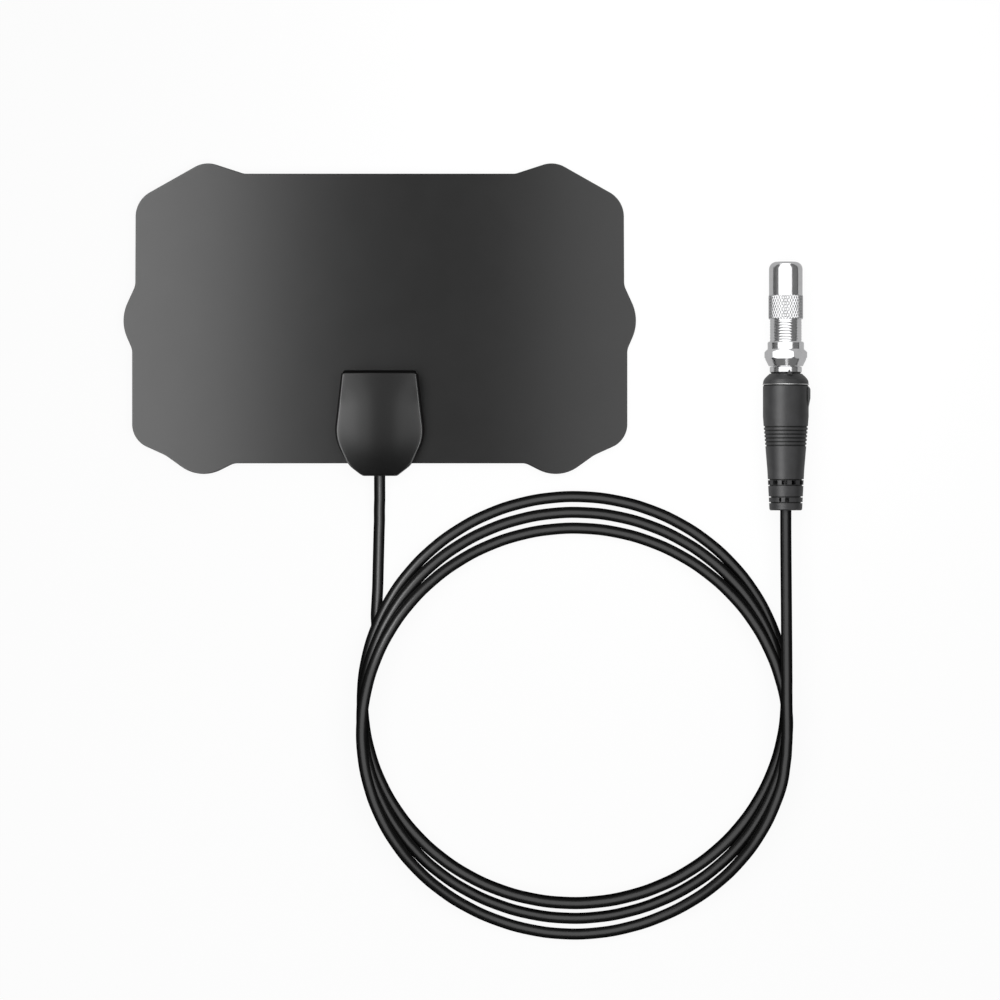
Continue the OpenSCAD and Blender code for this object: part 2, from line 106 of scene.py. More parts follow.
@dataclass(frozen=True)
class Finish:
    """A procedural surface finish.

    Args:
        name: Name of the material.
        colour: Middle of the base colour, linear.
        roughness: Middle of the roughness.
        metallic: 1 for bare metal.
        specular: Level of the mirror-like reflection.
        grain: Kind of fine relief.
        grain_mm: Size of that relief.
        depth_mm: Depth of that relief.
        blotch_mm: Size of the slow changes in colour and roughness.
        spread: How far the colour changes, as a share of it.
        rough_spread: How far the roughness changes, up and down.
        least_rough: The roughness never falls below this.
        wear_fineness: How much finer the changes in roughness are than those in colour.
        octaves: Detail of the changes in colour, the changes in roughness and the relief.
        tint_ends: Noise values at which the colour is darkest and lightest.
        mark_bend: How far turned or woven marks stray from straight.
    """

    name: str
    colour: Colour
    roughness: float
    metallic: float = 0.0
    specular: float = 0.5
    grain: Grain = Grain.MOULDED
    grain_mm: float = 0.25
    depth_mm: float = 0.004
    blotch_mm: float = 6.0
    spread: float = 0.12
    rough_spread: float = 0.04
    least_rough: float = 0.02
    wear_fineness: float = 2.7
    octaves: tuple[float, float, float] = (3.0, 4.0, 2.0)
    tint_ends: tuple[float, float] = (0.3, 0.7)
    mark_bend: float = 1.5

    def material(self) -> bpy.types.Material:
        """Builds the finish once and gives it back afterwards.

        Returns:
            The material.
        """
        made = bpy.data.materials.get(self.name)
        if made is not None:
            return made
        made = bpy.data.materials.new(self.name)
        made.use_nodes = True
        made.diffuse_color = (*self.colour, 1.0)
        tree = made.node_tree
        shader = tree.nodes["Principled BSDF"]
        shader.inputs["Metallic"].default_value = self.metallic
        shader.inputs["Specular IOR Level"].default_value = self.specular
        place = tree.nodes.new("ShaderNodeTexCoord").outputs["Object"]
        tint_detail, wear_detail, _ = self.octaves
        blotches = self._noise(tree, place, 1.0 / (self.blotch_mm * MM), tint_detail)
        tree.links.new(self._tint(tree, blotches), shader.inputs["Base Color"])
        wear = self._noise(tree, place, self.wear_fineness / (self.blotch_mm * MM), wear_detail)
        gloss = tree.nodes.new("ShaderNodeMapRange")
        lowest = max(self.least_rough, self.roughness - self.rough_spread)
        gloss.inputs["To Min"].default_value = lowest
        gloss.inputs["To Max"].default_value = self.roughness + self.rough_spread
        tree.links.new(wear, gloss.inputs["Value"])
        tree.links.new(gloss.outputs["Result"], shader.inputs["Roughness"])
        bump = tree.nodes.new("ShaderNodeBump")
        bump.inputs["Distance"].default_value = self.depth_mm * MM
        tree.links.new(self._relief(tree, place), bump.inputs["Height"])
        tree.links.new(bump.outputs["Normal"], shader.inputs["Normal"])
        return made

    def _tint(self, tree: Tree, value: Socket) -> Socket:
        """Turns a noise value into the base colour.

        Args:
            tree: Node tree of the material.
            value: Noise between 0 and 1.

        Returns:
            The colour output.
        """
        ramp = tree.nodes.new("ShaderNodeValToRGB")
        low, high = ramp.color_ramp.elements
        low.position, high.position = self.tint_ends
        low.color = (*(c * (1 - self.spread) for c in self.colour), 1.0)
        high.color = (*(min(1.0, c * (1 + self.spread)) for c in self.colour), 1.0)
        tree.links.new(value, ramp.inputs["Fac"])
        return ramp.outputs["Color"]

    @staticmethod
    def _noise(tree: Tree, place: Socket, scale: float, detail: float) -> Socket:
        """Adds a noise texture.

        Args:
            tree: Node tree of the material.
            place: Coordinates.
            scale: Features to a metre.
            detail: Octaves.

        Returns:
            The value output.
        """
        noise = tree.nodes.new("ShaderNodeTexNoise")
        noise.inputs["Scale"].default_value = scale
        noise.inputs["Detail"].default_value = detail
        tree.links.new(place, noise.inputs["Vector"])
        return noise.outputs["Fac"]

    def _relief(self, tree: Tree, place: Socket) -> Socket:
        """Makes the height of the fine relief.

        Args:
            tree: Node tree of the material.
            place: Coordinates.

        Returns:
            The height output.
        """
        scale = 1.0 / (self.grain_mm * MM)
        if self.grain is Grain.MOULDED:
            return self._noise(tree, place, scale, self.octaves[2])
        first = self._bands(tree, place, "Y", scale)
        if self.grain is Grain.TURNED:
            return first
        both = tree.nodes.new("ShaderNodeMath")
        both.operation = "MAXIMUM"
        tree.links.new(first, both.inputs[0])
        tree.links.new(self._bands(tree, place, "DIAGONAL", scale), both.inputs[1])
        return both.outputs[0]

    def _bands(self, tree: Tree, place: Socket, direction: str, scale: float) -> Socket:
        """Adds fine parallel marks.

        Args:
            tree: Node tree of the material.
            place: Coordinates.
            direction: Direction that the marks follow each other in.
            scale: Marks to a metre.

        Returns:
            The value output.
        """
        wave = tree.nodes.new("ShaderNodeTexWave")
        wave.bands_direction = direction
        wave.inputs["Scale"].default_value = scale * WAVE_SCALE
        wave.inputs["Distortion"].default_value = self.mark_bend
        wave.inputs["Detail"].default_value = self.octaves[2]
        tree.links.new(place, wave.inputs["Vector"])
        return wave.outputs["Fac"]


FILM = Finish("satin_black_film", (0.007, 0.007, 0.007), 0.30, grain_mm=0.16, depth_mm=0.0012,
              blotch_mm=18, spread=0.06, rough_spread=0.02)
PLASTIC = Finish("satin_black_plastic", (0.007, 0.007, 0.007), 0.30, grain_mm=0.22,
                 depth_mm=0.003, blotch_mm=9, spread=0.08, rough_spread=0.02)
# Dark finish on the floors of the boot's grooves: painted shade in the grooves
PAINTED_GROOVE_SHADE = Finish("painted_groove_shade", (0.012, 0.012, 0.012), 0.5, specular=0.25)
# Near-black finish that paints the shade in the housing's gap and along the body's foot
SHADOW_GAP = Finish("painted_shadow_black", (0.003, 0.003, 0.003), 0.8, specular=0.08)
JACKET = Finish("glossy_black_jacket", (0.004, 0.004, 0.004), 0.36, grain_mm=0.5, depth_mm=0.002,
                blotch_mm=5, spread=0.1, rough_spread=0.03)
RUBBER = Finish("moulded_black_rubber", (0.026, 0.026, 0.027), 0.42, grain_mm=0.3, depth_mm=0.01,
                blotch_mm=3, spread=0.15, rough_spread=0.05)
# Bright metal finish on the boot's moulded rubber lip: a painted highlight line
LIP_HIGHLIGHT = Finish("painted_lip_highlight", (0.7, 0.7, 0.7), 0.3, metallic=1)
NICKEL = Finish("bright_nickel", (0.80, 0.80, 0.81), 0.16, metallic=1, grain=Grain.TURNED,
                grain_mm=0.16, depth_mm=0.0012, blotch_mm=2, spread=0.03, rough_spread=0.03)
FOIL = Finish("rolled_foil", (0.80, 0.80, 0.82), 0.25, metallic=1, grain=Grain.TURNED)
LAMINATE = Finish("green_solder_mask", (0.05, 0.22, 0.09), 0.35)
TINNED = Finish("tinned_brass", (0.75, 0.70, 0.55), 0.25, metallic=1, blotch_mm=1)
FERRITE = Finish("sintered_ferrite", (0.08, 0.08, 0.09), 0.6, depth_mm=0.01)
COPPER = Finish("bare_copper", (0.72, 0.38, 0.20), 0.3, metallic=1, blotch_mm=1)
CLIP = Finish("tinned_spring_strip", (0.65, 0.65, 0.67), 0.3, metallic=1, grain=Grain.TURNED)
BRAID = Finish("tinned_braid", (0.70, 0.62, 0.52), 0.35, metallic=1, grain=Grain.WOVEN,
               grain_mm=0.3, depth_mm=0.05)
POLYMER = Finish("white_polymer", (0.80, 0.80, 0.77), 0.4, specular=0.4, blotch_mm=3, spread=0.04)


# Mesh tools


def eased(share: float) -> float:
    """Eases a share from 0 to 1 in and out."""
    share = max(0.0, min(1.0, share))
    return share * share * (3 - 2 * share)


class Shop:
    """Makes meshes from rings of points and dresses them."""

    NODE_SMOOTH_DEG = 28.0

    @staticmethod
    def skin(name: str, rings: Sequence[Sequence[Point]], ends: Ends = Ends.CAPPED,
             smooth_deg: float = 32.0) -> bpy.types.Object:
        """Joins closed rings of equally many points into one surface.

        Args:
            name: Name of the piece.
            rings: Rings in millimetres, one after the other.
            ends: Whether both ends are capped, joined to each other or left open, as where the
                first and the last ring close up on a line.
            smooth_deg: Edges sharper than this stay sharp.

        Returns:
            The new object.
        """
        count = len(rings[0])
        vertices = [tuple(c * MM for c in p) for ring in rings for p in ring]
        faces = []
        for i in range(len(rings) if ends is Ends.JOINED else len(rings) - 1):
            a, b = i * count, (i + 1) % len(rings) * count
            for k in range(count):
                n = (k + 1) % count
                faces.append((a + k, b + k, b + n, a + n))
        if ends is Ends.CAPPED:
            faces.append(tuple(range(count)))
            faces.append(tuple(reversed(range(len(vertices) - count, len(vertices)))))
        mesh = bpy.data.meshes.new(name)
        mesh.from_pydata(vertices, [], faces)
        return Shop.finished(name, mesh, smooth_deg)

    @staticmethod
    def finished(name: str, mesh: bpy.types.Mesh, smooth_deg: float) -> bpy.types.Object:
        """Merges doubled points, turns the faces outwards and links the mesh.

        Args:
            name: Name of the piece.
            mesh: The mesh.
            smooth_deg: Edges sharper than this stay sharp.

        Returns:
            The new object.
        """
        work = bmesh.new()
        work.from_mesh(mesh)
        bmesh.ops.remove_doubles(work, verts=work.verts, dist=MERGE)
        bmesh.ops.dissolve_degenerate(work, edges=work.edges, dist=MERGE)
        bmesh.ops.recalc_face_normals(work, faces=work.faces)
        work.to_mesh(mesh)
        work.free()
        mesh.shade_smooth()
        mesh.set_sharp_from_angle(angle=math.radians(smooth_deg))
        piece = bpy.data.objects.new(name, mesh)
        bpy.context.scene.collection.objects.link(piece)
        return piece

    @staticmethod
    def dress(piece: bpy.types.Object, finish: Finish, slot: Slot,
              lit: Receives) -> bpy.types.Object:
        """Gives a new piece its finish, light and body.

        Args:
            piece: The piece.
            finish: Its finish.
            slot: Its material slot in the record; not used.
            lit: The soft boxes that light it.

        Returns:
            The same piece.
        """
        piece.data.materials.clear()
        piece.data.materials.append(finish.material())
        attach(piece, ROOT)
        Studio.group(lit).objects.link(piece)
        log.info("%s: %s", piece.name, finish.name)
        return piece

    @staticmethod
    def dress_node(name: str, finish: Finish, lit: Receives) -> bpy.types.Object:
        """Gives a CAD node its finish and shading.

        Args:
            name: Name of the node.
            finish: Its finish.
            lit: The soft boxes that light it.

        Returns:
            The node's object.
        """
        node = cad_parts[name]
        node.data.materials.clear()
        node.data.materials.append(finish.material())
        node.data.shade_smooth()
        node.data.set_sharp_from_angle(angle=math.radians(Shop.NODE_SMOOTH_DEG))
        Studio.group(lit).objects.link(node)
        log.info("%s: %s", name, finish.name)
        return node


class Outline:
    """A closed outline through rounded corners, the same on its left and right."""

    def __init__(self, side: Sequence[Corner], arc_deg: float, step: float) -> None:
        """Rounds the corners and cuts long straights.

        Args:
            side: Corners of the right-hand side as x, y and radius, from top to bottom.
            arc_deg: Step along a rounded corner.
            step: Longest straight piece, in millimetres.
        """
        corners = [*side, *((-x, y, r) for x, y, r in reversed(side))]
        rounded: list[Flat] = []
        for i, (x, y, r) in enumerate(corners):
            rounded += self._arc(corners[i - 1][:2], (x, y), corners[(i + 1) % len(corners)][:2],
                                 r, arc_deg)
        self.points: list[Flat] = []
        for (ax, ay), (bx, by) in zip(rounded, rounded[1:] + rounded[:1]):
            cuts = max(1, math.ceil(math.dist((ax, ay), (bx, by)) / step))
            self.points += [(ax + (bx - ax) * k / cuts, ay + (by - ay) * k / cuts)
                            for k in range(cuts)]

    @staticmethod
    def _arc(a: Flat, b: Flat, c: Flat, r: float, arc_deg: float) -> list[Flat]:
        """Rounds the corner b on the way from a to c.

        Args:
            a: Corner before.
            b: This corner.
            c: Corner after.
            r: Radius.
            arc_deg: Step along the arc.

        Returns:
            Points along the arc.
        """
        u, v = (Vector(p) - Vector(b) for p in (a, c))
        u.normalize()
        v.normalize()
        half = u.angle(v) / 2
        centre = Vector(b) + (u + v).normalized() * r / math.sin(half)
        reach = r / math.tan(half)
        start, end = (Vector(b) + w * reach - centre for w in (u, v))
        first = math.atan2(start.y, start.x)
        turn = (math.atan2(end.y, end.x) - first + 3 * math.pi) % math.tau - math.pi
        steps = max(2, math.ceil(abs(math.degrees(turn)) / arc_deg))
        angles = [first + turn * k / steps for k in range(steps + 1)]
        return [(centre.x + r * math.cos(t), centre.y + r * math.sin(t)) for t in angles]

    def moved(self, out: float) -> list[Flat]:
        """Moves every point outwards.

        Args:
            out: How far, in millimetres.

        Returns:
            The moved points.
        """
        made = []
        count = len(self.points)
        for i, (x, y) in enumerate(self.points):
            (ax, ay), (bx, by) = self.points[i - 1], self.points[(i + 1) % count]
            length = math.dist((ax, ay), (bx, by))
            made.append((x - out * (by - ay) / length, y + out * (bx - ax) / length))
        return made

    def ring(self, z: float, out: float = 0.0) -> list[Point]:
        """Gives the outline at one height, moved outwards by out."""
        return [(x, y, z) for x, y in self.moved(out)]


# Studio


@dataclass(frozen=True)
class SoftBox:
    """A near soft light that the camera doesn't see.

    Args:
        name: Name of the light.
        at: Middle of the box in millimetres.
        aim_x: Where on the table it faces, across.
        size: Its sides across and along the table, in millimetres.
        radiance: Brightness of its face, where 1 is white.
        receives: Group of pieces that it lights.
        lights_floor: True where it lights the floor, too, which then shows the shadows.
        upright_deg: Turn about the X axis: -90 for an upright box that faces towards -Y.
    """

    name: str
    at: Point
    aim_x: float
    size: Flat
    radiance: float
    receives: Receives
    lights_floor: bool = False
    upright_deg: float = 0.0

    def build(self) -> None:
        """Builds the light and links it to the pieces that it lights."""
        data = bpy.data.lights.new(self.name, "AREA")
        data.shape = "RECTANGLE"
        data.size, data.size_y = (side * MM for side in self.size)
        data.energy = math.pi * data.size * data.size_y * self.radiance
        light = bpy.data.objects.new(self.name, data)
        bpy.context.scene.collection.objects.link(light)
        light.location = Vector(self.at) * MM
        light.rotation_euler[0] = math.radians(self.upright_deg)
        light.rotation_euler[1] = math.atan2(self.at[0] - self.aim_x, self.at[2])
        light.visible_camera = False
        lit = Studio.receivers(self.name, (self.receives,))
        if self.lights_floor:
            lit.objects.link(bpy.data.objects["floor"])
        light.light_linking.receiver_collection = lit
        log.info("%s: %.2f W", self.name, data.energy)


@dataclass
class Studio:
    """Camera, floor, sky and soft boxes."""

    centre: Flat = (34.29, -51.26)
    height: float = 1200.0
    frame_mm: float = 285.71
    sensor: float = 36.0
    clip_end: float = 20.0
    floor_half: float = 4000.0
    floor_drop: float = 0.02
    floor_grey: float = 0.8
    floor_glow: float = 0.92
    floor_mirrored: float = 0.5
    sky: float = 0.05

    @staticmethod
    def group(lit: Receives) -> bpy.types.Collection:
        """Gives the collection of the pieces that are lit together."""
        return bpy.data.collections.get(lit.value) or bpy.data.collections.new(lit.value)

    @staticmethod
    def receivers(name: str, groups: Sequence[Receives]) -> bpy.types.Collection:
        """Joins groups of pieces.

        Args:
            name: Name of the new collection.
            groups: The groups.

        Returns:
            The collection.
        """
        joined = bpy.data.collections.new(name)
        for group in groups:
            joined.children.link(Studio.group(group))
        return joined

    def build(self) -> None:
        """Builds the camera, the floor and the sky."""
        self._camera()
        self._floor()
        self._sky()
        bpy.context.scene.view_settings.view_transform = "Standard"

    def _camera(self) -> None:
        """Looks straight down with the panel's top edge up."""
        data = bpy.data.cameras.new("camera")
        data.sensor_width = self.sensor
        data.lens = self.sensor * self.height / self.frame_mm
        data.clip_end = self.clip_end
        camera = bpy.data.objects.new("camera", data)
        bpy.context.scene.collection.objects.link(camera)
        camera.location = (self.centre[0] * MM, self.centre[1] * MM, self.height * MM)
        bpy.context.scene.camera = camera
        log.info("camera: lens %.1f mm", data.lens)

    def _floor(self) -> None:
        """Lays a pale floor that is nearly white to the camera and keeps faint shadows."""
        half = self.floor_half * MM
        mesh = bpy.data.meshes.new("floor")
        mesh.from_pydata([(-half, -half, 0), (half, -half, 0), (half, half, 0), (-half, half, 0)],
                         [], [(0, 1, 2, 3)])
        floor = bpy.data.objects.new("floor", mesh)
        floor.location.z = -self.floor_drop * MM
        bpy.context.scene.collection.objects.link(floor)
        paint = bpy.data.materials.new("white_floor")
        paint.use_nodes = True
        tree = paint.node_tree
        tree.nodes.clear()
        matt = tree.nodes.new("ShaderNodeBsdfDiffuse")
        matt.inputs["Color"].default_value = (*[self.floor_grey] * 3, 1)
        glow = tree.nodes.new("ShaderNodeEmission")
        mixed = tree.nodes.new("ShaderNodeMixShader")
        tree.links.new(self._seen(tree, self.floor_glow, 1.0), mixed.inputs["Fac"])
        tree.links.new(self._seen(tree, 1.0, self.floor_mirrored), glow.inputs["Strength"])
        tree.links.new(matt.outputs[0], mixed.inputs[1])
        tree.links.new(glow.outputs[0], mixed.inputs[2])
        end = tree.nodes.new("ShaderNodeOutputMaterial")
        tree.links.new(mixed.outputs[0], end.inputs["Surface"])
        mesh.materials.append(paint)
        floor.light_linking.receiver_collection = self.receivers(
            "floor_glow", (Receives.PANEL, Receives.HOUSING, Receives.BOOT, Receives.PLUG))

    @staticmethod
    def _seen(tree: Tree, direct: float, mirrored: float) -> Socket:
        """Finds the rays that see the floor itself.

        Args:
            tree: Node tree of the floor.
            direct: Value for a ray from the camera.
            mirrored: Value for a ray from metal or glass, where all others have 0.

        Returns:
            The value output.
        """
        path = tree.nodes.new("ShaderNodeLightPath")
        value = None
        for kind, share in (("Is Camera Ray", direct), ("Is Glossy Ray", mirrored),
                            ("Is Transmission Ray", mirrored)):
            scaled = tree.nodes.new("ShaderNodeMath")
            scaled.operation = "MULTIPLY_ADD"
            scaled.inputs[1].default_value = share
            scaled.inputs[2].default_value = 0.0
            tree.links.new(path.outputs[kind], scaled.inputs[0])
            if value is not None:
                tree.links.new(value, scaled.inputs[2])
            value = scaled.outputs[0]
        return value

    def _sky(self) -> None:
        """Fills in with a dim, even studio, which is white to the camera."""
        world = bpy.data.worlds.new("studio")
        bpy.context.scene.world = world
        world.use_nodes = True
        tree = world.node_tree
        tree.nodes.clear()
        room = tree.nodes.new("ShaderNodeBackground")
        room.inputs["Strength"].default_value = self.sky
        white = tree.nodes.new("ShaderNodeBackground")
        mixed = tree.nodes.new("ShaderNodeMixShader")
        path = tree.nodes.new("ShaderNodeLightPath")
        tree.links.new(path.outputs["Is Camera Ray"], mixed.inputs["Fac"])
        tree.links.new(room.outputs[0], mixed.inputs[1])
        tree.links.new(white.outputs[0], mixed.inputs[2])
        end = tree.nodes.new("ShaderNodeOutputWorld")
        tree.links.new(mixed.outputs[0], end.inputs["Surface"])


# Every box is at a height of its own, since boxes that overlap in one plane lose light
SOFT_BOXES = (
    SoftBox("panel_left", (-150, 80, 220), -150, (200, 560), 4.3, Receives.PANEL),
    SoftBox("panel_right", (150, 80, 160), 150, (200, 560), 1.85, Receives.PANEL),
    SoftBox("panel_fill", (0, 80, 150), 0, (440, 560), 0.06, Receives.PANEL),
    SoftBox("housing_far_left", (-180, 139, 96), -180, (240, 400), 1.2, Receives.HOUSING),
    SoftBox("housing_left", (-161, 139, 93), -161, (278, 400), 1.0, Receives.HOUSING),
    SoftBox("housing_right", (169, 139, 99), 169, (262, 400), 0.8, Receives.HOUSING),
    SoftBox("housing_edge_left", (-200, -30, 40), 0, (80, 300), 7.0, Receives.HOUSING),
    SoftBox("housing_edge_right", (200, -30, 40), 0, (80, 300), 6.0, Receives.HOUSING),
    SoftBox("housing_fill", (0, 139, 90), 0, (600, 400), 0.5, Receives.HOUSING),
    SoftBox("lead_box", (50, -90, 360), 50, (560, 560), 2.1, Receives.LEAD, lights_floor=True),
    SoftBox("lead_gleam", (-1, -66, 60), -1, (14, 44), 11.0, Receives.LEAD),
    SoftBox("boot_left", (58, 0, 85), 58, (72, 300), 3.3, Receives.BOOT),
    SoftBox("boot_fill", (115, 0, 80), 115, (400, 400), 0.6, Receives.BOOT),
    SoftBox("plug_box", (94, 510, 75), 94, (147, 1100), 1.3, Receives.PLUG, lights_floor=True),
    SoftBox("plug_fill", (115, 0, 70), 115, (900, 800), 0.14, Receives.PLUG),
    SoftBox("plug_front", (97, 260, 130), 97, (225, 260), 1.3, Receives.PLUG, upright_deg=-90),
    SoftBox("plug_back", (127, -300, 130), 127, (70, 200), 2.0, Receives.PLUG, upright_deg=90),
)


# Lead


@dataclass
class Lead:
    """The round lead from the housing through its coil to the plug."""

    diameter: float = 3.2
    length_m: float = 1.46
    exit: Point = (0.0, -44.4, 3.3)
    half_width: float = 60.4
    half_height: float = 57.9
    centre: Flat = (55.5, -108.2)
    turn_step: float = 4.5
    first_deg: int = 168
    last_deg: int = 1436
    step_deg: int = 9
    flat_hump_deg: float = 20.0
    hump_end_deg: float = 75.0
    ring_change_deg: float = 20.0
    segments: int = 5
    from_housing: tuple[Point, ...] = (
        (0, -36, 3.3), (0, -40, 3.3), (0, -45, 3.3), (0, -48, 3.2), (0, -51, 2.8),
        (-0.1, -54, 2.3), (-0.1, -57, 1.9), (-0.2, -60, 1.7), (-0.3, -64, 1.6), (-0.4, -68, 1.6),
        (-0.5, -72, 1.6), (-0.6, -76, 1.6), (-0.8, -80, 1.6), (-1, -84, 1.6), (-1, -88, 1.6))
    to_plug: tuple[Point, ...] = (
        (115.5, -104, 10.9), (115.5, -100, 10.9), (115.5, -96, 10.6), (115.5, -91, 10.1),
        (115.5, -86, 9.5), (115.5, -81, 8.9), (115.5, -76, 8.3), (115.5, -71, 7.7),
        (115.5, -66, 7.1), (115.5, -62, 6.7), (115.5, -58, 6.5), (115.5, -54, 6.5),
        (115.5, -48, 6.5), (115.5, -40, 6.5), (115.5, -34, 6.5), (115.5, -27.9, 6.5))
    # For each half turn from the left: its ring, and how many strands it lies on
    half_rings: tuple[int, ...] = (0, 0, 0, 1, 1, 2, 2)
    half_levels: tuple[int, ...] = (0, 0, 1, 0, 0, 0, 0)
    # How many strands it lies on at each crossing, from the left
    crossing_levels: tuple[int, ...] = (0, 0, 1, 1, 2, 2, 3, 3)

    def coil_point(self, angle: float) -> Point:
        """Finds the lead's middle at an angle counted on through the turns.

        Args:
            angle: Degrees, where the first turn starts on the left at 180, and each half turn
                ends in a crossing.

        Returns:
            The point in millimetres.
        """
        last_half = len(self.half_rings) - 1
        half = max(0, min(last_half, int((angle - HALF_TURN) // HALF_TURN)))
        crossing = max(0, min(last_half + 1, round((angle - HALF_TURN) / HALF_TURN)))
        past = angle - HALF_TURN - HALF_TURN * crossing
        base = self.half_levels[half]
        lift = eased(1 - (abs(past) - self.flat_hump_deg)
                     / (self.hump_end_deg - self.flat_hump_deg))
        level = base + (self.crossing_levels[crossing] - base) * lift
        before = self.half_rings[max(0, crossing - 1)]
        after = self.half_rings[min(last_half, crossing)]
        change = eased((past + self.ring_change_deg) / (2 * self.ring_change_deg))
        ring = before + (after - before) * change
        t = math.radians(angle)
        return (self.centre[0] + self.half_width * math.cos(t),
                self.centre[1] - self.turn_step * ring + self.half_height * math.sin(t),
                self.diameter * (level + 0.5))

    def route(self) -> list[Point]:
        """Gives the whole route of the lead in millimetres."""
        turns = [self.coil_point(t) for t in range(self.first_deg, self.last_deg, self.step_deg)]
        return [*self.from_housing, *turns, *self.to_plug]

    def build(self) -> bpy.types.Object:
        """Builds the lead as one smooth tube.

        Returns:
            The lead's object.
        """
        curve = bpy.data.curves.new("coaxial_lead", "CURVE")
        curve.dimensions = "3D"
        curve.bevel_depth = self.diameter / 2 * MM
        curve.bevel_resolution = curve.resolution_u = self.segments
        curve.use_fill_caps = True
        line = curve.splines.new("BEZIER")
        route = self.route()
        line.bezier_points.add(len(route) - 1)
        for knot, place in zip(line.bezier_points, route):
            knot.co = Vector(place) * MM
            knot.handle_left_type = knot.handle_right_type = "AUTO"
        piece = bpy.data.objects.new("coaxial_lead", curve)
        bpy.context.scene.collection.objects.link(piece)
        Shop.dress(piece, JACKET, Slot.JACKET, Receives.LEAD)
        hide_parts("cord_lead", "cord_coil", "cord_tail")
        return piece


# Panel


@dataclass
class Panel:
    """The laminated panel: two films with the foil between them."""

    side_x: float = 69.6
    top_y: float = 41.8
    bottom_y: float = -40.8
    back_z: float = 1.6
    middle_z: float = 2.0
    front_z: float = 2.4
    # The rounded edge, and a ring inside it that keeps the shading of the film flat
    edge: float = 0.14
    edge_steps: int = 4
    border: float = 0.3

    def outline(self) -> Outline:
        """Gives the lobed outline."""
        x, top, bottom = self.side_x, self.top_y, self.bottom_y
        return Outline([
            (38.7, top, 4), (49.8, top + 3.6, 7.7), (x, 34.2, 8), (x + 0.1, 9.9, 5),
            (x + 4.6, 0, 12.1), (x + 1, -8.3, 5), (x + 1, -34.2, 7.1), (61.1, -38.5, 10),
            (51.2, bottom - 4.8, 10.8), (41.6, bottom, 4.3)], arc_deg=2.5, step=20)

    def _film(self, name: str, low: float, high: float, rounded_high: bool) -> bpy.types.Object:
        """Builds one film with its outer edge rounded over.

        Args:
            name: Name of the piece.
            low: Height of its underside.
            high: Height of its top.
            rounded_high: True to round the upper edge, False for the lower one.

        Returns:
            The film.
        """
        shape = self.outline()
        arc = [math.radians(RIGHT_ANGLE * k / self.edge_steps)
               for k in range(self.edge_steps + 1)]
        turn = [(self.edge * (math.cos(t) - 1), self.edge * (math.sin(t) - 1)) for t in arc]
        if rounded_high:
            rings = [shape.ring(low), *(shape.ring(high + dz, out) for out, dz in turn),
                     shape.ring(high, -self.edge - self.border)]
        else:
            rings = [shape.ring(high), *(shape.ring(low - dz, out) for out, dz in turn),
                     shape.ring(low, -self.edge - self.border)]
        return Shop.skin(name, rings, smooth_deg=50)

    def build(self) -> None:
        """Builds both films and dresses the foils between them."""
        front = self._film("front_film", self.middle_z, self.front_z, True)
        Shop.dress(front, FILM, Slot.FILM, Receives.PANEL)
        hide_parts("front_sheet")
        back = self._film("back_film", self.back_z, self.middle_z, False)
        Shop.dress(back, FILM, Slot.FILM, Receives.PANEL)
        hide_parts("back_sheet")
        for name in ("foil_left", "foil_right"):
            Shop.dress_node(name, FOIL, Receives.PANEL)


# Housing


